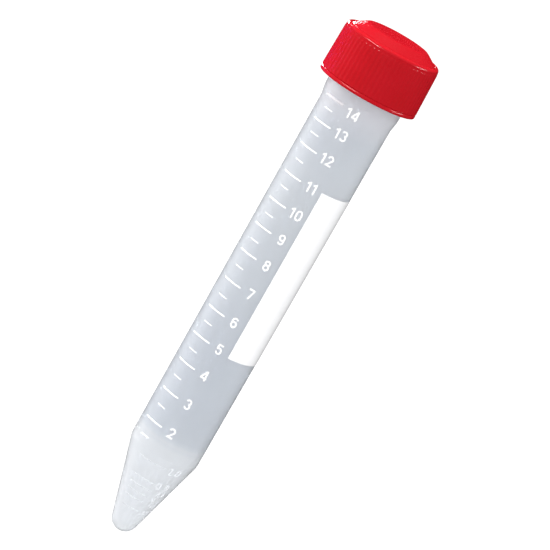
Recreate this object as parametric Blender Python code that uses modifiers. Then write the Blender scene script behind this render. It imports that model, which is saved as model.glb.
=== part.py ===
"""A 15 mL conical-bottom test tube with a ribbed screw cap, built as four separate solids.

Metres, +Z up. The origin is the lowest point of the tube's tip, and +Z runs along its axis towards the cap.
Angles round the tube are counter-clockwise from above, measured from +X, and the printed front faces -Y.
"""

import math

import bmesh
import bpy
from mathutils import Matrix

MM = 0.001

# Tube, outside. Heights are above the tip.
RIM_HEIGHT = 116.5 * MM
SHOULDER_HEIGHT = 20.0 * MM
TIP_RADIUS = 2.95 * MM
BARREL_RADIUS_BOTTOM = 7.75 * MM
BARREL_RADIUS_TOP = 8.09 * MM
COLLAR_STEP = 0.41 * MM
FLARE_HEIGHT = 3.5 * MM
COLLAR_HEIGHT = 2.3 * MM

# Tube, inside.
WALL_TOP = 0.85 * MM
WALL_BOTTOM = 1.0 * MM
TIP_FLOOR = 1.15 * MM
TIP_BORE_RADIUS = 2.0 * MM
NECK_WALL = 1.06 * MM
RIM_ROUNDING = 0.4 * MM

# Thread: right-handed, one start.
THREAD_PITCH = 3.0 * MM
THREAD_DEPTH = 0.7 * MM
THREAD_ROOT_WIDTH = 1.3 * MM
THREAD_CREST_WIDTH = 0.6 * MM
THREAD_CLEARANCE = 0.35 * MM
THREAD_BELOW_RIM = 1.9 * MM
THREAD_RUN_OUT = 0.14
NECK_THREAD_TURNS = 1.75
CAP_THREAD_TURNS = 2.0

# Cap.
CAP_HEIGHT = 13.2 * MM
ROOF_THICKNESS = 2.3 * MM
CAP_WALL = 1.25 * MM
SKIRT_DRAFT = 0.22 * MM
PLATEAU_RADIUS = 7.0 * MM
SLOPE_DROP = 1.75 * MM
RIM_BAND = 1.05 * MM
GROOVE_DEPTH = 0.1 * MM
GROOVE_WIDTH = 0.3 * MM
EDGE_ROUNDING = 0.75 * MM
LIP_HEIGHT = 0.7 * MM
LIP_CHAMFER = 0.2 * MM

# Grip ribs.
RIB_COUNT = 64
RIB_HEIGHT = 0.25 * MM
RIB_WIDTH = 0.62 * MM
RIB_SIDES = 6
RIB_TOP_DROP = 3.0 * MM

# Seal liner.
LINER_THICKNESS = 1.0 * MM
LINER_EDGE_CLEARANCE = 0.3 * MM
LINER_EDGE_CHAMFER = 0.2 * MM
SEAL_GAP = 0.25 * MM

# Writing panel.
PANEL_START = math.radians(-74.4)
PANEL_SWEEP = math.radians(100)
PANEL_BOTTOM = 45.5 * MM
PANEL_LENGTH = 40.0 * MM
PANEL_THICKNESS = 0.2 * MM
PANEL_GAP = 0.1 * MM

# Fineness of the solids.
SEGMENTS = 64
ARC_STEPS = 5
PANEL_STEPS = 18
ON_AXIS = 1e-6
SHARP_ANGLE = math.radians(40)
SINK = 0.25 * MM
FULL_TURN = 2 * math.pi

# Sizes that follow from those above.
COLLAR_RADIUS = BARREL_RADIUS_TOP + COLLAR_STEP
BORE_RADIUS_TOP = BARREL_RADIUS_TOP - WALL_TOP
BORE_RADIUS_BOTTOM = BARREL_RADIUS_BOTTOM - WALL_BOTTOM
NECK_RADIUS = BORE_RADIUS_TOP + NECK_WALL
NECK_CREST_RADIUS = NECK_RADIUS + THREAD_DEPTH
CAP_BORE_RADIUS = NECK_CREST_RADIUS + THREAD_CLEARANCE
CAP_CREST_RADIUS = NECK_RADIUS + THREAD_CLEARANCE
SKIRT_RADIUS = CAP_BORE_RADIUS + CAP_WALL
LINER_RADIUS = CAP_BORE_RADIUS - LINER_EDGE_CLEARANCE
LINER_BASE = RIM_HEIGHT + SEAL_GAP
CAP_TOP = LINER_BASE + LINER_THICKNESS + SEAL_GAP + ROOF_THICKNESS
CAP_BASE = CAP_TOP - CAP_HEIGHT
NECK_BASE = CAP_BASE + 0.5 * MM
FLARE_TOP = NECK_BASE - COLLAR_HEIGHT
BARREL_TOP = FLARE_TOP - FLARE_HEIGHT
THREAD_START = RIM_HEIGHT - THREAD_BELOW_RIM - NECK_THREAD_TURNS * THREAD_PITCH


def arc(centre_r, centre_z, radius, start_deg, end_deg, steps=ARC_STEPS):
    """Points (radius, height) along an arc. 0 degrees points outwards and 90 degrees points up."""
    points = []
    for i in range(steps + 1):
        angle = math.radians(start_deg + (end_deg - start_deg) * i / steps)
        points.append((centre_r + radius * math.cos(angle), centre_z + radius * math.sin(angle)))
    return points


def cone_angle(ball_radius, ball_height, top_radius, top_height):
    """Half-angle, in degrees, of a cone that leaves a ball on the axis and reaches a point above it."""
    rise = top_height - ball_height
    to_point = math.atan2(top_radius, rise)
    to_tangent = math.asin(ball_radius / math.hypot(top_radius, rise))
    return math.degrees(to_point - to_tangent)


def flare_curve(steps=4):
    """Soft S from the barrel to the collar, top to bottom, without its two ends."""
    points = []
    for i in range(1, steps):
        share = i / steps
        ease = share * share * (3 - 2 * share)
        points.append((COLLAR_RADIUS - COLLAR_STEP * ease, FLARE_TOP - FLARE_HEIGHT * share))
    return points


def tube_profile():
    """Inner floor to rim, then down the outside to the tip."""
    outer_angle = cone_angle(TIP_RADIUS, TIP_RADIUS, BARREL_RADIUS_BOTTOM, SHOULDER_HEIGHT)
    bore_shoulder = SHOULDER_HEIGHT + WALL_BOTTOM * math.tan(math.radians(outer_angle / 2))
    ball_height = TIP_FLOOR + TIP_BORE_RADIUS
    inner_angle = cone_angle(TIP_BORE_RADIUS, ball_height, BORE_RADIUS_BOTTOM, bore_shoulder)
    inside = arc(0, ball_height, TIP_BORE_RADIUS, -90, -inner_angle)
    inside += [(BORE_RADIUS_BOTTOM, bore_shoulder), (BORE_RADIUS_TOP, BARREL_TOP)]
    inside += arc(BORE_RADIUS_TOP + RIM_ROUNDING, RIM_HEIGHT - RIM_ROUNDING, RIM_ROUNDING, 180, 90, 3)
    outside = arc(NECK_RADIUS - RIM_ROUNDING, RIM_HEIGHT - RIM_ROUNDING, RIM_ROUNDING, 90, 0, 3)
    outside += [(NECK_RADIUS, NECK_BASE), (COLLAR_RADIUS, NECK_BASE), (COLLAR_RADIUS, FLARE_TOP)]
    outside += flare_curve()
    outside += [(BARREL_RADIUS_TOP, BARREL_TOP), (BARREL_RADIUS_BOTTOM, SHOULDER_HEIGHT)]
    outside += arc(0, TIP_RADIUS, TIP_RADIUS, -outer_angle, -90)
    return inside + outside


def cap_profile():
    """Down the outside from the top's centre, then up the inside. Heights are above the cap's lower edge."""
    slope_foot = SKIRT_RADIUS - RIM_BAND
    rim_top = CAP_HEIGHT - SLOPE_DROP
    rounding_centre = SKIRT_RADIUS + RIB_HEIGHT / 2 - EDGE_ROUNDING
    lip_radius = SKIRT_RADIUS + SKIRT_DRAFT + RIB_HEIGHT
    outside = [(0, CAP_HEIGHT), (PLATEAU_RADIUS, CAP_HEIGHT), (slope_foot, rim_top)]
    outside.append((slope_foot + GROOVE_WIDTH / 2, rim_top - GROOVE_DEPTH))
    outside += arc(rounding_centre, rim_top - EDGE_ROUNDING, EDGE_ROUNDING, 90, 0, 3)
    outside.append((SKIRT_RADIUS, rim_top - EDGE_ROUNDING - RIB_HEIGHT))
    outside.append((SKIRT_RADIUS + SKIRT_DRAFT, LIP_HEIGHT + RIB_HEIGHT))
    outside.append((lip_radius, LIP_HEIGHT))
    outside.append((lip_radius, LIP_CHAMFER))
    outside.append((lip_radius - LIP_CHAMFER, 0))
    roof = CAP_HEIGHT - ROOF_THICKNESS
    inside = [(CAP_BORE_RADIUS + LIP_CHAMFER, 0), (CAP_BORE_RADIUS, LIP_CHAMFER * 2)]
    inside += [(CAP_BORE_RADIUS, roof), (0, roof)]
    return outside + inside


def liner_profile():
    """Down the outside from the top's centre, then back to the axis. Heights are above its lower face."""
    edge = LINER_RADIUS - LINER_EDGE_CHAMFER
    top = LINER_THICKNESS
    chamfer = LINER_EDGE_CHAMFER
    return [(0, top), (edge, top), (LINER_RADIUS, top - chamfer), (LINER_RADIUS, chamfer), (edge, 0), (0, 0)]


def panel_profile():
    """The panel's inner face, from its top to its bottom, a fixed gap off the tapering barrel."""
    points = []
    for height in (PANEL_BOTTOM + PANEL_LENGTH, PANEL_BOTTOM):
        share = (height - SHOULDER_HEIGHT) / (BARREL_TOP - SHOULDER_HEIGHT)
        radius = BARREL_RADIUS_BOTTOM + (BARREL_RADIUS_TOP - BARREL_RADIUS_BOTTOM) * share
        points.append((radius + PANEL_GAP, height))
    return points


def plastic(name, colour, roughness, alpha=1.0):
    material = bpy.data.materials.new(name)
    material.use_nodes = True
    shader = material.node_tree.nodes["Principled BSDF"]
    shader.inputs["Base Color"].default_value = (*colour, 1)
    shader.inputs["Roughness"].default_value = roughness
    shader.inputs["Metallic"].default_value = 0
    shader.inputs["Alpha"].default_value = alpha
    return material


def turned(name, profile, collection, height=0.0, sweep=FULL_TURN, steps=SEGMENTS, start=0.0):
    """A profile of (radius, height) points turned about the Z axis by a Screw modifier."""
    mesh = bpy.data.meshes.new(name)
    edges = [(i, i + 1) for i in range(len(profile) - 1)]
    mesh.from_pydata([(r, 0, z) for r, z in profile], edges, [])
    obj = bpy.data.objects.new(name, mesh)
    collection.objects.link(obj)
    obj.location.z = height
    obj.rotation_euler.z = start
    screw = obj.modifiers.new("turn", "SCREW")
    screw.axis = "Z"
    screw.angle = sweep
    screw.steps = steps
    screw.render_steps = steps
    screw.use_merge_vertices = True
    screw.merge_threshold = ON_AXIS
    return obj


def helper(name, mesh_builder, collection, height=0.0):
    """A mesh used only to join to or cut another piece."""
    mesh = bpy.data.meshes.new(name)
    bmesh_data = bmesh.new()
    mesh_builder(bmesh_data)
    bmesh.ops.recalc_face_normals(bmesh_data, faces=bmesh_data.faces)
    bmesh_data.to_mesh(mesh)
    bmesh_data.free()
    obj = bpy.data.objects.new(name, mesh)
    collection.objects.link(obj)
    obj.location.z = height
    obj.hide_render = True
    obj.display_type = "WIRE"
    return obj


def join_to(obj, other):
    union = obj.modifiers.new(other.name, "BOOLEAN")
    union.operation = "UNION"
    union.solver = "EXACT"
    union.object = other


def thread_ridge(root_radius, crest_radius, start_height, turns, start_angle):
    """Builder of a helical ridge whose crest sinks into its wall at both ends.

    The root lies a little inside the wall, so the union with the wall has no coincident faces.
    """
    outwards = 1 if crest_radius > root_radius else -1
    buried = root_radius - outwards * SINK
    faded = root_radius - outwards * SINK / 2
    steps = round(turns * SEGMENTS)

    def build(bm):
        rings = []
        for i in range(steps + 1):
            turn = turns * i / steps
            fade = min(1, turn / THREAD_RUN_OUT, (turns - turn) / THREAD_RUN_OUT)
            crest = faded + (crest_radius - faded) * fade
            height = start_height + turn * THREAD_PITCH
            angle = start_angle + turn * FULL_TURN
            half_root = THREAD_ROOT_WIDTH / 2
            half_crest = THREAD_CREST_WIDTH / 2
            section = [(buried, -half_root), (crest, -half_crest), (crest, half_crest), (buried, half_root)]
            ring = []
            for radius, offset in section:
                place = (radius * math.cos(angle), radius * math.sin(angle), height + offset)
                ring.append(bm.verts.new(place))
            rings.append(ring)
        for low, high in zip(rings, rings[1:]):
            for i in range(4):
                j = (i + 1) % 4
                bm.faces.new((low[i], low[j], high[j], high[i]))
        bm.faces.new(rings[0])
        bm.faces.new(rings[-1])

    return build


def grip_ribs(bm):
    """Upright bars half sunk in the skirt, leaning out with its draft. Heights are above the cap's edge."""
    bottom = LIP_HEIGHT / 2
    top = CAP_HEIGHT - RIB_TOP_DROP
    lean = math.atan2(SKIRT_DRAFT, top - bottom)
    bar_radius = RIB_WIDTH / 2
    centre = SKIRT_RADIUS + SKIRT_DRAFT / 2 + RIB_HEIGHT - bar_radius
    for i in range(RIB_COUNT):
        place = Matrix.Rotation(FULL_TURN * i / RIB_COUNT, 4, "Z")
        place = place @ Matrix.Translation((centre, 0, (bottom + top) / 2))
        place = place @ Matrix.Rotation(-lean, 4, "Y")
        bmesh.ops.create_cone(
            bm,
            cap_ends=True,
            segments=RIB_SIDES,
            radius1=bar_radius,
            radius2=bar_radius,
            depth=top - bottom,
            matrix=place,
        )


def bake(obj, material):
    """Replaces the modifiers with their result, gives the piece its material and shades it smooth."""
    graph = bpy.context.evaluated_depsgraph_get()
    mesh = bpy.data.meshes.new_from_object(obj.evaluated_get(graph))
    obj.modifiers.clear()
    obj.data = mesh
    mesh.name = obj.name
    mesh.materials.clear()
    mesh.materials.append(material)
    mesh.shade_smooth()
    mesh.set_sharp_from_angle(angle=SHARP_ANGLE)


def make_tube(parts, cutters):
    tube = turned("tube_body", tube_profile(), parts)
    ridge = thread_ridge(NECK_RADIUS, NECK_CREST_RADIUS, THREAD_START, NECK_THREAD_TURNS, 0)
    join_to(tube, helper("neck_thread_ridge", ridge, cutters))
    bake(tube, plastic("frosted_polypropylene", (0.72, 0.76, 0.82), 0.35, 0.5))


def make_cap(parts, cutters):
    """The cap's thread lies half a pitch from the neck's, so both flanks have the same gap."""
    cap = turned("screw_cap", cap_profile(), parts, CAP_BASE)
    start = THREAD_START - CAP_BASE
    ridge = thread_ridge(CAP_BORE_RADIUS, CAP_CREST_RADIUS, start, CAP_THREAD_TURNS, math.pi)
    join_to(cap, helper("cap_thread_ridge", ridge, cutters, CAP_BASE))
    join_to(cap, helper("grip_rib_bars", grip_ribs, cutters, CAP_BASE))
    bake(cap, plastic("red_plastic", (0.78, 0.02, 0.03), 0.3))
    return cap


def make_liner(parts):
    liner = turned("seal_liner", liner_profile(), parts, LINER_BASE)
    bake(liner, plastic("soft_seal", (0.86, 0.85, 0.8), 0.6))
    return liner


def make_panel(parts):
    panel = turned("writing_panel", panel_profile(), parts, 0, PANEL_SWEEP, PANEL_STEPS, PANEL_START)
    shell = panel.modifiers.new("thickness", "SOLIDIFY")
    shell.thickness = PANEL_THICKNESS
    shell.offset = 1
    bake(panel, plastic("white_print", (0.93, 0.94, 0.95), 0.5))


def main():
    for obj in list(bpy.data.objects):
        bpy.data.objects.remove(obj)
    parts = bpy.data.collections.new("test_tube")
    cutters = bpy.data.collections.new("helpers")
    for collection in (parts, cutters):
        bpy.context.scene.collection.children.link(collection)
    make_tube(parts, cutters)
    make_panel(parts)
    lift = bpy.data.objects.new("cap_lift", None)
    lift.location.z = CAP_BASE
    parts.objects.link(lift)
    bpy.context.view_layer.update()
    for piece in (make_liner(parts), make_cap(parts, cutters)):
        piece.parent = lift
        piece.matrix_parent_inverse = lift.matrix_world.inverted()


main()
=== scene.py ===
import math

import bmesh
import bpy
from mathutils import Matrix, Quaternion, Vector


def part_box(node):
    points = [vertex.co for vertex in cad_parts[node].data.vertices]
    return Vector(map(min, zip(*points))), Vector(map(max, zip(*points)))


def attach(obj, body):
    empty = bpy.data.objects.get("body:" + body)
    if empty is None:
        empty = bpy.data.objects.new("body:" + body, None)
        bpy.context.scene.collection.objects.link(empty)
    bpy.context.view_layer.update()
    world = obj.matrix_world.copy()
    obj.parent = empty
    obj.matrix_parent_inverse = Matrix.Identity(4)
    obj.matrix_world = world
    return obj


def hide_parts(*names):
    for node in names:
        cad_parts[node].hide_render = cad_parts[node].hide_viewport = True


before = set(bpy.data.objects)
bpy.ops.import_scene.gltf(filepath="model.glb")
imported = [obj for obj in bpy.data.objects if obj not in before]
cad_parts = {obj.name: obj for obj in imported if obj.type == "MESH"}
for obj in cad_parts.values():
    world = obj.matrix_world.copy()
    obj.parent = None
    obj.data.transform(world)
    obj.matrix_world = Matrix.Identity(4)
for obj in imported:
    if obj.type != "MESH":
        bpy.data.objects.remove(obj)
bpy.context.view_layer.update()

MM = 0.001
FULL_TURN = 2 * math.pi

# Places read from the frame.
RIM_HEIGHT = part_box("tube_body")[1].z
CAP_LOW, CAP_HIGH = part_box("screw_cap")
LINER_LOW, LINER_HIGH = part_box("seal_liner")
PANEL_LOW, PANEL_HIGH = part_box("writing_panel")
CAP_BASE, CAP_TOP = CAP_LOW.z, CAP_HIGH.z
CAP_HEIGHT = CAP_TOP - CAP_BASE

# Tube sizes, as in the CAD part. Heights are above the tip.
SHOULDER_HEIGHT = 20.0 * MM
TIP_RADIUS = 2.95 * MM
BARREL_RADIUS_BOTTOM = 7.75 * MM
BARREL_RADIUS_TOP = 8.09 * MM
COLLAR_STEP = 0.41 * MM
COLLAR_HEIGHT = 2.3 * MM
COLLAR_IN_SKIRT = 0.5 * MM
FLARE_HEIGHT = 3.5 * MM
WALL_TOP = 0.85 * MM
WALL_BOTTOM = 1.0 * MM
TIP_FLOOR = 1.15 * MM
TIP_BORE_RADIUS = 2.0 * MM
NECK_WALL = 1.06 * MM
RIM_ROUNDING = 0.4 * MM
COLLAR_RADIUS = BARREL_RADIUS_TOP + COLLAR_STEP
BORE_RADIUS_TOP = BARREL_RADIUS_TOP - WALL_TOP
BORE_RADIUS_BOTTOM = BARREL_RADIUS_BOTTOM - WALL_BOTTOM
NECK_RADIUS = BORE_RADIUS_TOP + NECK_WALL
NECK_BASE = CAP_BASE + COLLAR_IN_SKIRT
FLARE_TOP = NECK_BASE - COLLAR_HEIGHT
BARREL_TOP = FLARE_TOP - FLARE_HEIGHT

# Small details of the tube.
MOULD_LINE_HEIGHT = 23.4 * MM
MOULD_LINE_STEP = 0.05 * MM
BORE_SHOULDER_EASE = 0.3 * MM
SHOULDER_EASE = 0.4 * MM
CONE_FOOT = 2.4 * MM
NECK_FOOT_HEIGHT = 0.15 * MM
NECK_FOOT_WIDTH = 0.05 * MM
COLLAR_CHAMFER = 0.06 * MM

# Thread, as in the CAD part.
THREAD_PITCH = 3.0 * MM
THREAD_DEPTH = 0.7 * MM
THREAD_CLEARANCE = 0.35 * MM
THREAD_ROOT_WIDTH = 1.3 * MM
THREAD_CREST_WIDTH = 0.6 * MM
THREAD_CREST_ROUNDING = 0.12 * MM
THREAD_BELOW_RIM = 1.9 * MM
THREAD_RUN_OUT = 0.14
THREAD_SINK = 0.25 * MM
NECK_THREAD_TURNS = 1.75
CAP_THREAD_TURNS = 2.0
THREAD_START = RIM_HEIGHT - THREAD_BELOW_RIM - NECK_THREAD_TURNS * THREAD_PITCH

# Cap sizes, as in the CAD part.
CAP_WALL = 1.25 * MM
CAP_BORE_RADIUS = NECK_RADIUS + THREAD_DEPTH + THREAD_CLEARANCE
SKIRT_RADIUS = CAP_BORE_RADIUS + CAP_WALL
SKIRT_DRAFT = 0.22 * MM
ROOF_THICKNESS = 2.3 * MM
PLATEAU_RADIUS = 7.0 * MM
SLOPE_DROP = 1.75 * MM
RIM_BAND = 1.05 * MM
EDGE_ROUNDING = 0.75 * MM
LIP_HEIGHT = 0.7 * MM
RIB_COUNT = 64
RIB_HEIGHT = 0.25 * MM
RIB_TOP_DROP = 3.0 * MM

# Small details of the cap.
PLATEAU_DOME = 0.08 * MM
PLATEAU_CREASE = 0.05 * MM
PLATEAU_SHARES = (0, 0.25, 0.5, 0.75, 0.96)
GROOVE_PROFILE = ((0.08 * MM, 0.12 * MM), (0.16 * MM, 0.12 * MM), (0.26 * MM, 0.03 * MM))
BAND_FOOT = 0.16 * MM
RIB_SHOWN = 0.075 * MM
RIB_SHARPNESS = 0.7
RIB_END_RISE = 0.12 * MM
RIB_END_LENGTH = 0.36 * MM
LIP_RISE = 0.05 * MM
LIP_EDGE = 0.12 * MM
LIP_ROUNDING = 0.2 * MM
BORE_MOUTH_WIDTH = 0.05 * MM
BORE_MOUTH_HEIGHTS = (0.15 * MM, 0.4 * MM)
ROOF_CORNER = 0.2 * MM

# Liner.
LINER_ROUNDING = 0.25 * MM
RIM_MARK_DEPTH = 0.08 * MM
RIM_MARK_FLOOR = 0.2 * MM
RIM_MARK_MOUTH = 0.35 * MM

# Print and moulded marks. Angles are measured from the front, positive towards +X.
PRINT_GAP = 0.01 * MM
PRINT_THICKNESS = 0.03 * MM
BAR_WIDTH = 0.32 * MM
HALF_BAR_WIDTH = 0.2 * MM
BAR_FROM, BAR_TO = math.radians(-58), math.radians(-20)
HALF_BAR_FROM, HALF_BAR_TO = math.radians(-49), math.radians(-31)
BAR_HEIGHTS_MM = (25.7, 32.8, 39.9, 46.3, 52.8, 59.7, 66.6, 72.9, 79.0, 85.4, 92.1, 98.0, 103.6)
HALF_BAR_HEIGHTS_MM = (22.1, 29.3, 36.4, 43.0, 49.6, 56.1, 63.2, 69.6, 75.8, 82.4, 88.8, 95.2, 101.1)
LOWEST_NUMERAL = 2
NUMERAL_HEIGHT = 2.35 * MM
NUMERAL_PEN = 0.38 * MM
NUMERAL_SPACING = 0.45 * MM
NUMERAL_ANGLE = math.radians(-2.2)
TOP_NUMERAL_DROP = 0.75 * MM
PANEL_FROM, PANEL_TO = math.radians(15.6), math.radians(115.6)
# Above this height the bars take the ink with the painted highlight fade.
HIGHLIGHT_FADE_FROM = BARREL_TOP - 0.6 * MM
TOP_BAR_SMEAR = 2
WRAP_STEP = 0.3 * MM
# Height in mm, numeral, its height in mm and the angle of its middle.
CONE_MARKS = (
    (18.1, "1.0", 1.9, 37), (13.8, "0.5", 1.7, 37), (11.95, "0.4", 1.2, 46), (10.35, "0.3", 1.2, 48),
    (8.8, "0.2", 1.1, 50), (6.4, "0.1", 1.1, 50),
)
CONE_LINE_WIDTH = 0.14 * MM
CONE_MARK_RISE = 0.035 * MM
CONE_LINE_FROM, CONE_LINE_TO = math.radians(-34), math.radians(20)

# Fineness.
TUBE_COLUMNS = 192
RIB_COLUMNS = 8
SHARP_ANGLE = math.radians(38)

# Camera, floor and lights.
CAMERA_DISTANCE = 0.83
CAMERA_ELEVATION = math.radians(11.8)
CAMERA_ROLL = math.radians(29.62)
CAMERA_LENS = 261.0
SENSOR_WIDTH = 36.0
CAMERA_ORBIT_HEIGHT = 60 * MM
AIM = Vector((2.1 * MM, 0, 64.2 * MM))
FLOOR_DROP = 0.12
FLOOR_HALF_SIZE = 6
BACKDROP_RADIUS = 5
LIGHT_DISTANCE = 0.9
LIGHT_AIM = Vector((0, 0, RIM_HEIGHT * 0.7))
FAINT_PINK = (1.0, 0.93, 0.97)
# (height of the direction, from -1 straight down to 1 straight up, and the light that comes from it)
SKY = ((-1, (0.66, 0.66, 0.67)), (0.4, (0.66, 0.66, 0.67)), (0.85, (2.1, 2.1, 2.1)), (1, (2.1, 2.1, 2.1)))


def divided(start, end, steps):
    """Evenly spaced values from start to end, both included."""
    return [start + (end - start) * i / steps for i in range(steps + 1)]


def arc(centre_r, centre_z, radius, start_deg, end_deg, steps):
    """Points (radius, height) along an arc. 0 degrees points outwards and 90 degrees points up."""
    points = []
    for i in range(steps + 1):
        angle = math.radians(start_deg + (end_deg - start_deg) * i / steps)
        points.append((centre_r + radius * math.cos(angle), centre_z + radius * math.sin(angle)))
    return points


def cone_angle(ball_radius, ball_height, top_radius, top_height):
    """Half-angle of a cone that leaves a ball on the axis and reaches a point above it."""
    rise = top_height - ball_height
    return math.atan2(top_radius, rise) - math.asin(ball_radius / math.hypot(top_radius, rise))


OUTER_ANGLE = cone_angle(TIP_RADIUS, TIP_RADIUS, BARREL_RADIUS_BOTTOM, SHOULDER_HEIGHT)
BORE_SHOULDER = SHOULDER_HEIGHT + WALL_BOTTOM * math.tan(OUTER_ANGLE / 2)
BORE_BALL = TIP_FLOOR + TIP_BORE_RADIUS
INNER_ANGLE = cone_angle(TIP_BORE_RADIUS, BORE_BALL, BORE_RADIUS_BOTTOM, BORE_SHOULDER)


def outer_radius(height):
    """Radius of the tube's outside at a height between the tip and the collar."""
    if height < SHOULDER_HEIGHT:
        below = SHOULDER_HEIGHT - height
        cone = BARREL_RADIUS_BOTTOM - below * math.tan(OUTER_ANGLE)
        ball = math.sqrt(max(0.0, TIP_RADIUS ** 2 - (height - TIP_RADIUS) ** 2))
        tangent = TIP_RADIUS - TIP_RADIUS * math.sin(OUTER_ANGLE)
        return ball if height < tangent else cone
    if height < BARREL_TOP:
        share = (height - SHOULDER_HEIGHT) / (BARREL_TOP - SHOULDER_HEIGHT)
        return BARREL_RADIUS_BOTTOM + (BARREL_RADIUS_TOP - BARREL_RADIUS_BOTTOM) * share
    share = min(1.0, (height - BARREL_TOP) / FLARE_HEIGHT)
    return BARREL_RADIUS_TOP + (COLLAR_RADIUS - BARREL_RADIUS_TOP) * share * share * (3 - 2 * share)


def bore_radius(height):
    """Radius of the hollow inside the tube at a height."""
    tangent = BORE_BALL - TIP_BORE_RADIUS * math.sin(INNER_ANGLE)
    if height < tangent:
        return math.sqrt(max(0.0, TIP_BORE_RADIUS ** 2 - (height - BORE_BALL) ** 2))
    if height < BORE_SHOULDER:
        return BORE_RADIUS_BOTTOM - (BORE_SHOULDER - height) * math.tan(INNER_ANGLE)
    share = min(1.0, (height - BORE_SHOULDER) / (BARREL_TOP - BORE_SHOULDER))
    return BORE_RADIUS_BOTTOM + (BORE_RADIUS_TOP - BORE_RADIUS_BOTTOM) * share


# Shapes


def new_object(name, bm, material=None):
    mesh = bpy.data.meshes.new(name)
    bm.to_mesh(mesh)
    bm.free()
    if material:
        mesh.materials.append(material)
    obj = bpy.data.objects.new(name, mesh)
    bpy.context.scene.collection.objects.link(obj)
    return obj


def smooth(obj, angle=SHARP_ANGLE):
    obj.data.shade_smooth()
    obj.data.set_sharp_from_angle(angle=angle)


def lathe(rows, columns, ripple=None):
    """Closed skin turned about Z from (radius, height) rows that run down its outer side.

    ripple(i, j) is added to the radius of row i at column j.
    """
    bm = bmesh.new()
    rings = []
    for i, (radius, height) in enumerate(rows):
        if radius == 0:
            rings.append([bm.verts.new((0, 0, height))])
            continue
        ring = []
        for j in range(columns):
            angle = FULL_TURN * j / columns
            r = radius + (ripple(i, j) if ripple else 0)
            ring.append(bm.verts.new((r * math.cos(angle), r * math.sin(angle), height)))
        rings.append(ring)
    for upper, lower in zip(rings, rings[1:]):
        for j in range(columns):
            k = (j + 1) % columns
            if len(upper) == 1:
                bm.faces.new((upper[0], lower[j], lower[k]))
            elif len(lower) == 1:
                bm.faces.new((upper[j], lower[0], upper[k]))
            else:
                bm.faces.new((upper[j], lower[j], lower[k], upper[k]))
    return bm


def thread_ridge(root_radius, crest_radius, start_height, turns, start_angle, steps_per_turn=TUBE_COLUMNS):
    """Helical ridge with rounded flanks whose crest sinks into its wall at both ends."""
    outwards = 1 if crest_radius > root_radius else -1
    buried = root_radius - outwards * THREAD_SINK
    faded = root_radius - outwards * THREAD_SINK / 2
    steps = round(turns * steps_per_turn)
    half_root, half_crest = THREAD_ROOT_WIDTH / 2, THREAD_CREST_WIDTH / 2
    half_near = half_crest + THREAD_CREST_ROUNDING / 2
    bm = bmesh.new()
    rings = []
    for i in range(steps + 1):
        turn = turns * i / steps
        fade = max(0.0, min(1.0, turn / THREAD_RUN_OUT, (turns - turn) / THREAD_RUN_OUT))
        fade = fade * fade * (3 - 2 * fade)
        crest = faded + (crest_radius - faded) * fade
        near_crest = crest - outwards * THREAD_CREST_ROUNDING * fade
        height = start_height + turn * THREAD_PITCH
        angle = start_angle + turn * FULL_TURN
        section = [
            (buried, -half_root), (near_crest, -half_near), (crest, -half_crest * 0.6),
            (crest, half_crest * 0.6), (near_crest, half_near), (buried, half_root),
        ]
        ring = []
        for radius, offset in section:
            place = (radius * math.cos(angle), radius * math.sin(angle), height + offset)
            ring.append(bm.verts.new(place))
        rings.append(ring)
    count = len(rings[0])
    for low, high in zip(rings, rings[1:]):
        for i in range(count):
            j = (i + 1) % count
            bm.faces.new((low[i], low[j], high[j], high[i]))
    bm.faces.new(rings[0])
    bm.faces.new(rings[-1])
    bmesh.ops.recalc_face_normals(bm, faces=bm.faces)
    return bm


def join_solids(obj, bm):
    """Adds another closed solid to obj by an exact union."""
    other = new_object("joined", bm)
    union = obj.modifiers.new("union", "BOOLEAN")
    union.operation = "UNION"
    union.solver = "EXACT"
    union.object = other
    graph = bpy.context.evaluated_depsgraph_get()
    result = bpy.data.meshes.new_from_object(obj.evaluated_get(graph))
    obj.modifiers.clear()
    obj.data = result
    bpy.data.objects.remove(other)


# Tube


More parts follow.
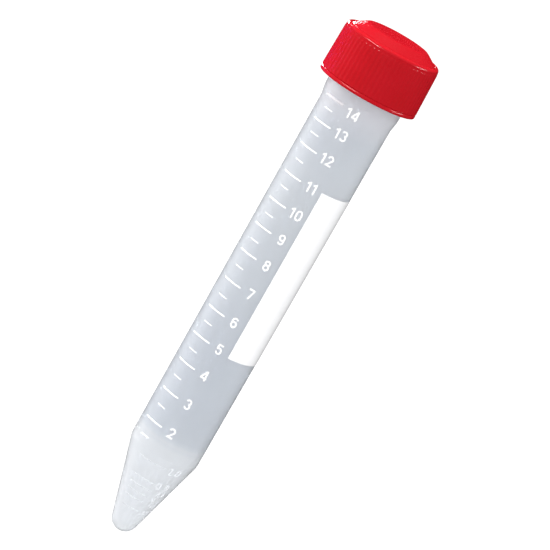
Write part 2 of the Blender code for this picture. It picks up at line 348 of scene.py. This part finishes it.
def tube_rows():
    """Inner floor to rim, then down the outside to the tip."""
    inner_deg, outer_deg = math.degrees(INNER_ANGLE), math.degrees(OUTER_ANGLE)
    rows = arc(0, BORE_BALL, TIP_BORE_RADIUS, -90, -inner_deg, 10)
    rows[0] = (0, TIP_FLOOR)
    for height in divided(rows[-1][1], BORE_SHOULDER, 8)[1:-1]:
        rows.append((bore_radius(height), height))
    rows.append((BORE_RADIUS_BOTTOM - 0.08 * MM, BORE_SHOULDER - BORE_SHOULDER_EASE))
    rows.append((BORE_RADIUS_BOTTOM - 0.01 * MM, BORE_SHOULDER + BORE_SHOULDER_EASE))
    line = bore_radius(MOULD_LINE_HEIGHT)
    rows += [(line, MOULD_LINE_HEIGHT), (line + MOULD_LINE_STEP, MOULD_LINE_HEIGHT + MOULD_LINE_STEP)]
    for height in divided(MOULD_LINE_HEIGHT, BARREL_TOP, 12)[1:]:
        fade = (BARREL_TOP - height) / (BARREL_TOP - MOULD_LINE_HEIGHT)
        rows.append((bore_radius(height) + MOULD_LINE_STEP * fade, height))
    rows += arc(BORE_RADIUS_TOP + RIM_ROUNDING, RIM_HEIGHT - RIM_ROUNDING, RIM_ROUNDING, 180, 90, 6)
    rows += arc(NECK_RADIUS - RIM_ROUNDING, RIM_HEIGHT - RIM_ROUNDING, RIM_ROUNDING, 90, 0, 6)
    rows += [(NECK_RADIUS, NECK_BASE + NECK_FOOT_HEIGHT), (NECK_RADIUS + NECK_FOOT_WIDTH, NECK_BASE)]
    rows += [(COLLAR_RADIUS - COLLAR_CHAMFER, NECK_BASE), (COLLAR_RADIUS, NECK_BASE - COLLAR_CHAMFER)]
    for height in divided(FLARE_TOP, BARREL_TOP, 12) + divided(BARREL_TOP, SHOULDER_HEIGHT, 12)[1:-1]:
        rows.append((outer_radius(height), height))
    below = SHOULDER_HEIGHT - SHOULDER_EASE
    rows.append((BARREL_RADIUS_BOTTOM + 0.001 * MM, SHOULDER_HEIGHT + SHOULDER_EASE))
    rows.append((BARREL_RADIUS_BOTTOM - 0.03 * MM, SHOULDER_HEIGHT))
    rows.append((outer_radius(below) - 0.005 * MM, below))
    for height in divided(below, CONE_FOOT, 8)[1:-1]:
        rows.append((outer_radius(height), height))
    rows += arc(0, TIP_RADIUS, TIP_RADIUS, -outer_deg, -90, 12)
    rows[-1] = (0, 0)
    return rows


def make_tube():
    tube = new_object("tube_shell", lathe(tube_rows(), TUBE_COLUMNS), frosted_polypropylene())
    ridge = thread_ridge(NECK_RADIUS, NECK_RADIUS + THREAD_DEPTH, THREAD_START, NECK_THREAD_TURNS, 0)
    join_solids(tube, ridge)
    smooth(tube)
    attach(tube, "tube")
    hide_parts("tube_body")


# Numerals, drawn with a pen of even width in a box one unit high and WIDE units wide

WIDE = 0.6
NARROW = {"1": 0.37, ".": 0.2}
PEN = NUMERAL_PEN / NUMERAL_HEIGHT
SHARPEST_MITRE = 0.45
GLYPHS = {}  # finished digits, by character


def bow(cx, cy, rx, ry, start, end, steps=12):
    """Points on an elliptical bow of the pen's centre line, in degrees."""
    points = []
    for i in range(steps + 1):
        angle = math.radians(start + (end - start) * i / steps)
        points.append((cx + rx * math.cos(angle), cy + ry * math.sin(angle)))
    return points


def strokes_of(digit):
    """Pen strokes of a digit, each (points, closed)."""
    h = PEN / 2
    left, right, top, base = h, WIDE - h, 1 - h, h
    cx, rx = WIDE / 2, WIDE / 2 - h
    if digit == "0":
        loop = bow(cx, 1 - h - rx, rx, rx, 0, 180) + bow(cx, h + rx, rx, rx, 180, 360)
        return [(loop, True)]
    if digit == "1":
        upright = NARROW["1"] - h
        return [([(upright, 0), (upright, 1)], False), ([(0.02, 0.74), (upright, 0.92)], False)]
    if digit == "2":
        ry = 0.25
        curve = bow(cx, top - ry, rx, ry, 170, -25)
        return [(curve + [(left + 0.01, base), (right + h, base)], False)]
    if digit == "3":
        upper = bow(cx - 0.01, top - 0.2, rx, 0.2, 165, -80)
        lower = bow(cx, base + 0.235, rx, 0.235, 80, -165)
        return [(upper, False), (lower, False)]
    if digit == "4":
        upright = right - h * 0.6
        diagonal = [(upright - 0.02, 0.97), (left - 0.03, 0.29)]
        return [([(upright, 0), (upright, 1)], False), (diagonal, False), ([(0, 0.27), (WIDE, 0.27)], False)]
    if digit == "5":
        bowl = bow(cx, base + 0.265, rx, 0.265, 130, -165)
        return [([(right + h * 0.6, top), (left + h * 0.6, top), (left + h * 0.3, 0.55)] + bowl, False)]
    if digit == "6":
        loop = bow(cx, base + 0.25, rx, 0.25, 0, 360, 24)[:-1]
        stem = bow(cx, top - 0.22, rx, 0.22, 20, 180) + [(left, 0.3)]
        return [(loop, True), (stem, False)]
    if digit == "7":
        return [([(0, top), (right, top), (cx - 0.06, 0)], False)]
    if digit == "8":
        upper = bow(cx, top - 0.19, rx * 0.93, 0.19, 0, 360, 24)[:-1]
        lower = bow(cx, base + 0.235, rx, 0.235, 0, 360, 24)[:-1]
        return [(upper, True), (lower, True)]
    if digit == "9":
        return [([(WIDE - x, 1 - y) for x, y in points], closed) for points, closed in strokes_of("6")]
    return [([(NARROW["."] / 2, 0), (NARROW["."] / 2, PEN)], False)]


def edge_points(points, closed, pen):
    """The pen's left and right edges along a line, with mitred corners."""
    left, right = [], []
    count = len(points)
    for i in range(count):
        here = Vector(points[i])
        ways = []
        if closed or i > 0:
            ways.append((here - Vector(points[i - 1])).normalized())
        if closed or i < count - 1:
            ways.append((Vector(points[(i + 1) % count]) - here).normalized())
        way = sum(ways, Vector((0, 0))).normalized()
        side = Vector((-way.y, way.x))
        widen = 1 / max(SHARPEST_MITRE, side.dot(Vector((-ways[0].y, ways[0].x))))
        left.append(here + side * pen / 2 * widen)
        right.append(here - side * pen / 2 * widen)
    return left, right


def stroke_slab(points, closed, pen, thickness):
    """A pen stroke as a flat closed slab."""
    left, right = edge_points(points, closed, pen)
    bm = bmesh.new()
    rings = []
    for a, b in zip(left, right):
        ring = [bm.verts.new((p.x, p.y, z)) for p, z in ((a, 0), (b, 0), (b, thickness), (a, thickness))]
        rings.append(ring)
    pairs = list(zip(rings, rings[1:]))
    if closed:
        pairs.append((rings[-1], rings[0]))
    for low, high in pairs:
        for i in range(4):
            j = (i + 1) % 4
            bm.faces.new((low[i], low[j], high[j], high[i]))
    if not closed:
        bm.faces.new(rings[0])
        bm.faces.new(rings[-1])
    bmesh.ops.recalc_face_normals(bm, faces=bm.faces)
    return bm


def glyph_mesh(digit, thickness):
    """A digit as one flat closed slab, one unit high."""
    slabs = [stroke_slab(points, closed, PEN, thickness) for points, closed in strokes_of(digit)]
    obj = new_object("glyph", slabs[0])
    for slab in slabs[1:]:
        join_solids(obj, slab)
    mesh = obj.data
    bpy.data.objects.remove(obj)
    return mesh


def text_width(text, height):
    """Width of a row of digits of one height."""
    spacing = NUMERAL_SPACING * height / NUMERAL_HEIGHT
    return sum(NARROW.get(c, WIDE) * height + spacing for c in text) - spacing


def text_slab(text, height, thickness):
    """Digits side by side as flat slabs, centred on the origin."""
    x = -text_width(text, height) / 2
    bm = bmesh.new()
    for character in text:
        if character not in GLYPHS:
            GLYPHS[character] = glyph_mesh(character, 1.0)
        start = len(bm.verts)
        bm.from_mesh(GLYPHS[character])
        bm.verts.ensure_lookup_table()
        for vertex in bm.verts[start:]:
            flat = vertex.co * height
            vertex.co = Vector((x + flat.x, flat.y - height / 2, vertex.co.z * thickness))
        x += NARROW.get(character, WIDE) * height + NUMERAL_SPACING * height / NUMERAL_HEIGHT
    return bm


def wrap(bm, angle, height, gap=PRINT_GAP, step=WRAP_STEP):
    """Bends flat slabs round the tube's outside, after slicing them so that they follow its curve."""
    xs = [vertex.co.x for vertex in bm.verts]
    cut = math.ceil(min(xs) / step) * step
    while cut < max(xs):
        everything = bm.verts[:] + bm.edges[:] + bm.faces[:]
        bmesh.ops.bisect_plane(bm, geom=everything, plane_co=(cut, 0, 0), plane_no=(1, 0, 0))
        cut += step
    middle = outer_radius(height)
    for vertex in bm.verts:
        z = height + vertex.co.y
        radius = outer_radius(z) + gap + vertex.co.z
        turn = angle + vertex.co.x / middle
        vertex.co = Vector((radius * math.sin(turn), -radius * math.cos(turn), z))
    return bm


def bar_slab(width, height, thickness):
    """A flat bar that stands on the XY plane."""
    bm = bmesh.new()
    bmesh.ops.create_cube(bm, size=1)
    for vertex in bm.verts:
        vertex.co = Vector((vertex.co.x * width, vertex.co.y * height, (vertex.co.z + 0.5) * thickness))
    return bm


def gathered(name, pieces, material):
    """One object from several sets of slabs."""
    whole = bmesh.new()
    for bm in pieces:
        mesh = bpy.data.meshes.new("part")
        bm.to_mesh(mesh)
        bm.free()
        whole.from_mesh(mesh)
        bpy.data.meshes.remove(mesh)
    return new_object(name, whole, material)


def bar(from_angle, to_angle, height, bar_width):
    """A printed bar round part of the tube. Its width is measured along the tube."""
    length = (to_angle - from_angle) * outer_radius(height)
    slab = bar_slab(length, bar_width, PRINT_THICKNESS)
    return wrap(slab, (from_angle + to_angle) / 2, height)


def make_print():
    ink, highlight_faded = white_ink(), highlight_faded_ink()
    bars, numerals = [], []
    for i, (full, half) in enumerate(zip(BAR_HEIGHTS_MM, HALF_BAR_HEIGHTS_MM)):
        height, text = full * MM, str(LOWEST_NUMERAL + i)
        smear = TOP_BAR_SMEAR if full == BAR_HEIGHTS_MM[-1] else 1
        bars.append(bar(BAR_FROM, BAR_TO, height, BAR_WIDTH * smear))
        bars.append(bar(HALF_BAR_FROM, HALF_BAR_TO, half * MM, HALF_BAR_WIDTH))
        drop = TOP_NUMERAL_DROP if full == BAR_HEIGHTS_MM[-1] else 0
        numerals.append(wrap(text_slab(text, NUMERAL_HEIGHT, PRINT_THICKNESS), NUMERAL_ANGLE, height - drop))
    for name, pieces in (("graduation_bars", bars), ("graduation_numerals", numerals)):
        obj = gathered(name, pieces, ink)
        if name == "graduation_bars":
            # Faces over the flare take the ink with the painted highlight fade.
            obj.data.materials.append(highlight_faded)
            for face in obj.data.polygons:
                face.material_index = int(face.center.z > HIGHLIGHT_FADE_FROM)
        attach(obj, "tube")


def make_panel():
    """The writing panel as a thin film of ink on the barrel."""
    low, high = PANEL_LOW.z, PANEL_HIGH.z
    middle = (low + high) / 2
    width = (PANEL_TO - PANEL_FROM) * outer_radius(middle)
    slab = bar_slab(width, high - low, PRINT_THICKNESS)
    film = wrap(slab, (PANEL_FROM + PANEL_TO) / 2, middle)
    panel = new_object("writing_panel_film", film, white_ink("panel_ink"))
    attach(panel, "tube")
    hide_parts("writing_panel")


def make_cone_scale():
    """Raised lines and numerals moulded in the cone."""
    pieces = []
    for height, text, size, angle in CONE_MARKS:
        place = height * MM
        radius = outer_radius(place)
        slab = bar_slab((CONE_LINE_TO - CONE_LINE_FROM) * radius, CONE_LINE_WIDTH, CONE_MARK_RISE)
        pieces.append(wrap(slab, (CONE_LINE_FROM + CONE_LINE_TO) / 2, place, gap=0))
        pieces.append(wrap(text_slab(text, size * MM, CONE_MARK_RISE), math.radians(angle), place, gap=0))
    scale = gathered("cone_scale", pieces, moulded_marks())
    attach(scale, "tube")


# Cap


def cap_rows():
    """(radius, height, share of rib height) rows from the top's centre down the outside and up the inside."""
    foot = SKIRT_RADIUS - RIM_BAND
    rim_top = CAP_HEIGHT - SLOPE_DROP
    edge = CAP_HEIGHT - PLATEAU_DOME
    rows = []
    for share in PLATEAU_SHARES:
        rows.append((PLATEAU_RADIUS * share, CAP_HEIGHT - PLATEAU_DOME * share * share, 0))
    rows.append((PLATEAU_RADIUS, edge - PLATEAU_CREASE, 0))
    for share in divided(0, 1, 6)[1:]:
        rows.append((PLATEAU_RADIUS + (foot - PLATEAU_RADIUS) * share, edge + (rim_top - edge) * share, 0))
    for outwards, drop in GROOVE_PROFILE:
        rows.append((foot + outwards, rim_top - drop, 0))
    centre = SKIRT_RADIUS + RIB_HEIGHT / 2 - EDGE_ROUNDING
    rows += [(r, z, 0) for r, z in arc(centre, rim_top - EDGE_ROUNDING, EDGE_ROUNDING, 90, -10, 10)]

    wall = SKIRT_RADIUS + RIB_HEIGHT - RIB_SHOWN
    rows.append((wall + 0.01 * MM, rim_top - EDGE_ROUNDING - BAND_FOOT, 0))
    rib_end = CAP_HEIGHT - RIB_TOP_DROP + RIB_END_RISE
    lip_top = LIP_HEIGHT + LIP_RISE
    for share in divided(0, 1, 4):
        rows.append((wall, rib_end - share * RIB_END_LENGTH, math.sin(share * math.pi / 2)))
    rib_top, rib_foot = rib_end - RIB_END_LENGTH, lip_top + 0.25 * MM
    for share in divided(0, 1, 6)[1:]:
        rows.append((wall + SKIRT_DRAFT * share, rib_top + (rib_foot - rib_top) * share, 1))

    lip = SKIRT_RADIUS + SKIRT_DRAFT + RIB_HEIGHT
    rows.append((lip - RIB_HEIGHT * 0.75, lip_top + 0.1 * MM, 0.5))
    rows.append((lip - RIB_HEIGHT * 0.3, lip_top, 0))
    rows.append((lip, lip_top - LIP_EDGE, 0))
    rows += [(r, z, 0) for r, z in arc(lip - LIP_ROUNDING, LIP_ROUNDING, LIP_ROUNDING, 0, -90, 5)]

    roof = CAP_HEIGHT - ROOF_THICKNESS
    rows.append((CAP_BORE_RADIUS + LIP_ROUNDING, 0, 0))
    rows.append((CAP_BORE_RADIUS + BORE_MOUTH_WIDTH, BORE_MOUTH_HEIGHTS[0], 0))
    for height in (BORE_MOUTH_HEIGHTS[1], roof / 2, roof - ROOF_CORNER):
        rows.append((CAP_BORE_RADIUS, height, 0))
    rows += [(CAP_BORE_RADIUS - ROOF_CORNER, roof, 0), (0, roof, 0)]
    return rows


def make_cap():
    rows = cap_rows()
    columns = RIB_COUNT * RIB_COLUMNS

    def rib(i, j):
        wave = 0.5 + 0.5 * math.cos(FULL_TURN * j / RIB_COLUMNS)
        return RIB_SHOWN * rows[i][2] * wave ** RIB_SHARPNESS

    skin = lathe([(r, z + CAP_BASE) for r, z, _ in rows], columns, rib)
    cap = new_object("cap_shell", skin, red_plastic())
    crest = NECK_RADIUS + THREAD_CLEARANCE
    join_solids(cap, thread_ridge(CAP_BORE_RADIUS, crest, THREAD_START, CAP_THREAD_TURNS, math.pi))
    # The top and slope take the matte red, which is painted darker as shade.
    cap.data.materials.append(matte_red_with_painted_shade())
    slope_foot = CAP_TOP - SLOPE_DROP - 0.02 * MM
    for face in cap.data.polygons:
        if face.center.z > slope_foot and face.normal.z > 0.5:
            face.material_index = 1
    smooth(cap)
    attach(cap, "cap")
    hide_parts("screw_cap")


def make_liner():
    """Soft disc with rounded edges and the mark that the tube's rim has pressed in it."""
    radius, low, high = LINER_HIGH.x, LINER_LOW.z, LINER_HIGH.z
    rim = (BORE_RADIUS_TOP + NECK_RADIUS) / 2
    inner, marked = radius - LINER_ROUNDING, low + RIM_MARK_DEPTH
    rows = [(0, high), (inner, high)]
    rows += arc(inner, high - LINER_ROUNDING, LINER_ROUNDING, 90, 0, 5)[1:]
    rows += arc(inner, low + LINER_ROUNDING, LINER_ROUNDING, 0, -90, 5)
    rows += [(rim + RIM_MARK_MOUTH, low), (rim + RIM_MARK_FLOOR, marked)]
    rows += [(rim - RIM_MARK_FLOOR, marked), (rim - RIM_MARK_MOUTH, low), (0, low)]
    liner = new_object("liner_disc", lathe(rows, TUBE_COLUMNS), soft_seal())
    smooth(liner)
    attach(liner, "liner")
    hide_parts("seal_liner")


# Materials


COAT_WEIGHT = 0.8
COAT_ROUGHNESS = 0.2
NOISE_LOW, NOISE_HIGH = 0.3, 0.7  # the range that most of the noise lies in


def principled(name, colour, roughness, specular=0.5, coated=False):
    """A Principled material. Returns it with its node tree and its shader."""
    material = bpy.data.materials.new(name)
    material.use_nodes = True
    shader = material.node_tree.nodes["Principled BSDF"]
    shader.inputs["Base Color"].default_value = (*colour, 1)
    shader.inputs["Roughness"].default_value = roughness
    shader.inputs["Specular IOR Level"].default_value = specular
    if coated:
        shader.inputs["Coat Weight"].default_value = COAT_WEIGHT
        shader.inputs["Coat Roughness"].default_value = COAT_ROUGHNESS
    return material, material.node_tree, shader


def noise(tree, scale, detail=3.0, stretch=(1, 1, 1)):
    """Noise by place in the object, in features a metre."""
    place = tree.nodes.new("ShaderNodeTexCoord")
    mapping = tree.nodes.new("ShaderNodeMapping")
    mapping.inputs["Scale"].default_value = stretch
    texture = tree.nodes.new("ShaderNodeTexNoise")
    texture.inputs["Scale"].default_value = scale
    texture.inputs["Detail"].default_value = detail
    tree.links.new(place.outputs["Object"], mapping.inputs["Vector"])
    tree.links.new(mapping.outputs["Vector"], texture.inputs["Vector"])
    return texture.outputs["Fac"]


def blend_colours(tree, factor, first, second):
    """Maps noise to a blend of two colours."""
    ramp = tree.nodes.new("ShaderNodeValToRGB")
    ramp.color_ramp.elements[0].position = NOISE_LOW
    ramp.color_ramp.elements[1].position = NOISE_HIGH
    ramp.color_ramp.elements[0].color = (*first, 1)
    ramp.color_ramp.elements[1].color = (*second, 1)
    tree.links.new(factor, ramp.inputs["Fac"])
    return ramp.outputs["Color"]


def spread(tree, factor, low, high):
    """Maps noise to a range."""
    ranger = tree.nodes.new("ShaderNodeMapRange")
    ranger.inputs["From Min"].default_value = NOISE_LOW
    ranger.inputs["From Max"].default_value = NOISE_HIGH
    ranger.inputs["To Min"].default_value = low
    ranger.inputs["To Max"].default_value = high
    tree.links.new(factor, ranger.inputs["Value"])
    return ranger.outputs["Result"]


def bump(tree, height, distance, strength=1.0):
    node = tree.nodes.new("ShaderNodeBump")
    node.inputs["Distance"].default_value = distance
    node.inputs["Strength"].default_value = strength
    tree.links.new(height, node.inputs["Height"])
    return node.outputs["Normal"]


def ramp_by_z(tree, coordinate, stops):
    """Colour by the Z of a texture coordinate, from (z, colour) stops that run upwards."""
    place = tree.nodes.new("ShaderNodeTexCoord")
    split = tree.nodes.new("ShaderNodeSeparateXYZ")
    ranger = tree.nodes.new("ShaderNodeMapRange")
    ramp = tree.nodes.new("ShaderNodeValToRGB")
    low, high = stops[0][0], stops[-1][0]
    ranger.inputs["From Min"].default_value = low
    ranger.inputs["From Max"].default_value = high
    tree.links.new(place.outputs[coordinate], split.inputs["Vector"])
    tree.links.new(split.outputs["Z"], ranger.inputs["Value"])
    tree.links.new(ranger.outputs["Result"], ramp.inputs["Fac"])
    ramp.color_ramp.elements[1].color = (*stops[-1][1], 1)
    ramp.color_ramp.elements[0].color = (*stops[0][1], 1)
    for z, colour in stops[1:-1]:
        ramp.color_ramp.elements.new((z - low) / (high - low)).color = (*colour, 1)
    return ramp.outputs["Color"]


def multiply(tree, first, second):
    mix = tree.nodes.new("ShaderNodeMix")
    mix.data_type = "RGBA"
    mix.blend_type = "MULTIPLY"
    mix.inputs["Factor"].default_value = 1
    first_colour, second_colour, result = mix.inputs[6], mix.inputs[7], mix.outputs[2]
    tree.links.new(first, first_colour)
    tree.links.new(second, second_colour)
    return result


# (height, colour) of the tube's plastic, which is paler in the cone, the mould line and the collar. Only the
# pale bluish grey is the plastic's own. The changes by height are painted light and shade: a painted
# darkening at the tip, a painted brightening of the cone, a painted highlight ring at the mould line, painted
# light and shade along the barrel and a painted brightening at the collar.
TUBE_TINTS_AND_PAINTED_LIGHT = (
    (0, (0.76, 0.78, 0.80)),
    (0.8 * MM, (0.86, 0.885, 0.91)),
    (2.5 * MM, (0.93, 0.955, 0.98)),
    (22.2 * MM, (0.93, 0.955, 0.98)),
    (23.2 * MM, (0.86, 0.895, 0.935)),
    (23.5 * MM, (0.95, 0.96, 0.98)),
    (23.8 * MM, (0.84, 0.88, 0.92)),
    (25 * MM, (0.775, 0.815, 0.865)),
    (45 * MM, (0.79, 0.83, 0.88)),
    (80 * MM, (0.85, 0.885, 0.92)),
    (98 * MM, (0.82, 0.855, 0.90)),
    (103 * MM, (0.92, 0.935, 0.975)),
)


def frosted_polypropylene():
    material, tree, shader = principled("frosted_polypropylene", (0.8, 0.83, 0.86), 0.38, 0.35, coated=True)
    shader.inputs["IOR"].default_value = 1.49
    shader.inputs["Transmission Weight"].default_value = 0.6
    cloud = noise(tree, 150, 4, (1, 1, 0.4))
    streak = blend_colours(tree, cloud, (0.965, 0.965, 0.97), (1, 1, 1))
    # The colour by height is painted light and shade laid over the plastic's own tint.
    tint_and_painted_light = ramp_by_z(tree, "Object", TUBE_TINTS_AND_PAINTED_LIGHT)
    tree.links.new(multiply(tree, tint_and_painted_light, streak), shader.inputs["Base Color"])
    grain = noise(tree, 2500, 3)
    tree.links.new(spread(tree, grain, 0.34, 0.44), shader.inputs["Roughness"])
    tree.links.new(bump(tree, grain, 0.02 * MM, 0.4), shader.inputs["Normal"])
    return material


def moulded_marks():
    """The same plastic where it stands proud and catches the light."""
    material, tree, shader = principled("moulded_marks", (0.95, 0.96, 0.975), 0.4, 0.4)
    grain = noise(tree, 2500, 3)
    colour = blend_colours(tree, grain, (0.68, 0.70, 0.73), (0.76, 0.78, 0.81))
    tree.links.new(colour, shader.inputs["Base Color"])
    tree.links.new(spread(tree, grain, 0.3, 0.5), shader.inputs["Roughness"])
    return material


def red_plastic():
    material, tree, shader = principled("red_plastic", (0.515, 0.009, 0.0155), 0.18, 0.1)
    cloud = noise(tree, 180, 3)
    colour = blend_colours(tree, cloud, (0.50, 0.0085, 0.014), (0.53, 0.0095, 0.017))
    tree.links.new(colour, shader.inputs["Base Color"])
    grain = noise(tree, 3000, 2)
    tree.links.new(spread(tree, grain, 0.12, 0.18), shader.inputs["Roughness"])
    tree.links.new(bump(tree, grain, 0.01 * MM, 0.35), shader.inputs["Normal"])
    return material


def matte_red_with_painted_shade():
    """The same plastic where the mould has a fine matte texture: the cap's top and slope. The texture is
    real. Its red is darker than red_plastic's, which is painted shade on the top.
    """
    material, tree, shader = principled("matte_red_with_painted_shade", (0.465, 0.007, 0.0135), 0.25, 0.03)
    grain = noise(tree, 5000, 2)
    colour = blend_colours(tree, grain, (0.45, 0.0065, 0.012), (0.48, 0.0075, 0.015))
    tree.links.new(colour, shader.inputs["Base Color"])
    tree.links.new(spread(tree, grain, 0.2, 0.3), shader.inputs["Roughness"])
    tree.links.new(bump(tree, grain, 0.03 * MM, 0.8), shader.inputs["Normal"])
    return material


def white_ink(name="white_ink"):
    material, tree, shader = principled(name, (0.95, 0.952, 0.955), 0.45, 0.3, coated=True)
    cloud = noise(tree, 700, 4)
    colour = blend_colours(tree, cloud, (0.94, 0.943, 0.95), (0.965, 0.965, 0.97))
    tree.links.new(colour, shader.inputs["Base Color"])
    tree.links.new(spread(tree, noise(tree, 4000, 2), 0.4, 0.55), shader.inputs["Roughness"])
    return material


def highlight_faded_ink():
    """Ink over the flare, painted grey in specks: a painted fade that stands in for the flare's highlight
    washing out the print.
    """
    material, tree, shader = principled("highlight_faded_ink", (0.8, 0.81, 0.83), 0.45, 0.3)
    specks = noise(tree, 1600, 4)
    colour = blend_colours(tree, specks, (0.52, 0.515, 0.54), (0.62, 0.60, 0.63))
    tree.links.new(colour, shader.inputs["Base Color"])
    return material


def soft_seal():
    material, tree, shader = principled("soft_seal", (0.85, 0.84, 0.79), 0.6)
    grain = noise(tree, 2500, 4)
    colour = blend_colours(tree, grain, (0.80, 0.79, 0.74), (0.88, 0.87, 0.83))
    tree.links.new(colour, shader.inputs["Base Color"])
    tree.links.new(bump(tree, grain, 0.04 * MM, 0.5), shader.inputs["Normal"])
    return material


def glowing(name, grey, glow):
    """Matt grey that also gives off white light."""
    material, _, shader = principled(name, (grey, grey, grey), 0.9, specular=0)
    shader.inputs["Emission Color"].default_value = (1, 1, 1, 1)
    shader.inputs["Emission Strength"].default_value = glow
    return material


# Stage


def unseen_by(obj, *rays):
    for ray in rays:
        setattr(obj, "visible_" + ray, False)


def make_floor():
    """A pale floor that shows, also through the tube, but neither lights nor shades the object."""
    bm = bmesh.new()
    bmesh.ops.create_grid(bm, x_segments=1, y_segments=1, size=FLOOR_HALF_SIZE)
    floor = new_object("floor", bm, glowing("pale_floor", 0.2, 0.86))
    floor.location.z = -FLOOR_DROP
    unseen_by(floor, "diffuse", "glossy", "shadow")


def make_backdrop():
    """A pale shell that only the camera sees, so that a level view has a plain background too."""
    material = glowing("pale_backdrop", 0, 1)
    material.cycles.emission_sampling = "NONE"
    bm = bmesh.new()
    bmesh.ops.create_uvsphere(bm, u_segments=32, v_segments=16, radius=BACKDROP_RADIUS)
    backdrop = new_object("backdrop", bm, material)
    unseen_by(backdrop, "diffuse", "glossy", "transmission", "shadow")


def make_world():
    """Soft light by direction, brightest overhead. Highlights don't show it."""
    world = bpy.data.worlds.new("studio")
    world.use_nodes = True
    tree = world.node_tree
    tree.links.new(ramp_by_z(tree, "Generated", SKY), tree.nodes["Background"].inputs["Color"])
    bpy.context.scene.world = world
    world.cycles_visibility.glossy = False


def area_light(
    name, direction, width, height, radiance,
    colour=(1, 1, 1), only=None, gloss=False, distance=LIGHT_DISTANCE,
):
    """A rectangular light that faces the object. White paper in full light has a radiance of 1.

    only: a collection that holds the pieces it falls on, or None for all of them.
    gloss: it shows as a highlight and lights nothing. Otherwise it lights and leaves no highlight.
    """
    light = bpy.data.lights.new(name, "AREA")
    light.shape = "RECTANGLE"
    light.size = width
    light.size_y = height
    light.energy = radiance * math.pi * width * height
    light.color = colour
    obj = bpy.data.objects.new(name, light)
    way = Vector(direction).normalized()
    obj.location = LIGHT_AIM + way * distance
    obj.rotation_euler = (-way).to_track_quat("-Z", "Y").to_euler()
    unseen_by(obj, "camera", "transmission", "diffuse" if gloss else "glossy")
    bpy.context.scene.collection.objects.link(obj)
    obj.light_linking.receiver_collection = only


def pieces_lit(name, pieces):
    """A collection of pieces, for the lights that fall only on them."""
    group = bpy.data.collections.new(name)
    for piece in pieces:
        group.objects.link(bpy.data.objects[piece])
    return group


def make_lights():
    cap = pieces_lit("lit_cap", ["cap_shell"])
    tube = pieces_lit("lit_tube", ["tube_shell", "graduation_bars", "graduation_numerals", "cone_scale"])
    panel = pieces_lit("lit_panel", ["writing_panel_film"])
    area_light("left_softbox", (-1, 0.08, 0.15), 0.9, 0.9, 2.4, colour=(1.0, 0.98, 0.99))
    area_light("front_softbox", (-0.1, -1, 0.3), 1.2, 1.0, 0.9, distance=1.3)
    area_light("left_edge", (-0.9, 0.43, 0), 0.4, 0.9, 6.5, only=tube)
    area_light("left_edge_cap", (-0.8, 0.7, 0.1), 0.5, 0.5, 4.5, colour=(1.0, 0.4, 2.8), only=cap)
    area_light("right_softbox", (1, 0.35, 0), 0.7, 0.9, 1.8, only=tube)
    area_light("below", (0, -0.3, -1), 1.0, 1.0, 2.7, only=tube)
    area_light("panel_fill", (0.17, -1, 0.1), 0.6, 0.9, 1.7, only=panel)
    area_light("top_fill", (-0.15, 0.3, 1), 0.5, 0.5, 3.7, only=cap)
    gloss = {"only": cap, "gloss": True}
    area_light("front_left_gloss", (-0.6, -0.64, 0.45), 0.65, 0.25, 45.0, **gloss)
    area_light("right_gloss", (0.95, -0.06, 0.33), 0.5, 0.25, 30.0, **gloss)
    area_light("behind_left_gloss", (-0.37, 0.91, 0.15), 0.3, 0.15, 26.0, colour=FAINT_PINK, **gloss)
    area_light("left_gloss", (-0.57, 0.69, 0.42), 0.12, 0.12, 20.0, colour=FAINT_PINK, **gloss)


def make_camera():
    data = bpy.data.cameras.new("camera")
    data.lens = CAMERA_LENS
    data.sensor_width = SENSOR_WIDTH
    camera = bpy.data.objects.new("camera", data)
    back = CAMERA_DISTANCE * math.cos(CAMERA_ELEVATION)
    up = CAMERA_DISTANCE * math.sin(CAMERA_ELEVATION)
    camera.location = (AIM.x, -back, CAMERA_ORBIT_HEIGHT + up)
    look = (AIM - camera.location).to_track_quat("-Z", "Y")
    camera.rotation_mode = "QUATERNION"
    camera.rotation_quaternion = look @ Quaternion((0, 0, 1), CAMERA_ROLL)
    bpy.context.scene.collection.objects.link(camera)
    bpy.context.scene.camera = camera


def main():
    bpy.context.scene.view_settings.view_transform = "Standard"
    make_camera()
    make_tube()
    make_print()
    make_panel()
    make_cone_scale()
    make_cap()
    make_liner()
    make_floor()
    make_backdrop()
    make_world()
    make_lights()


main()
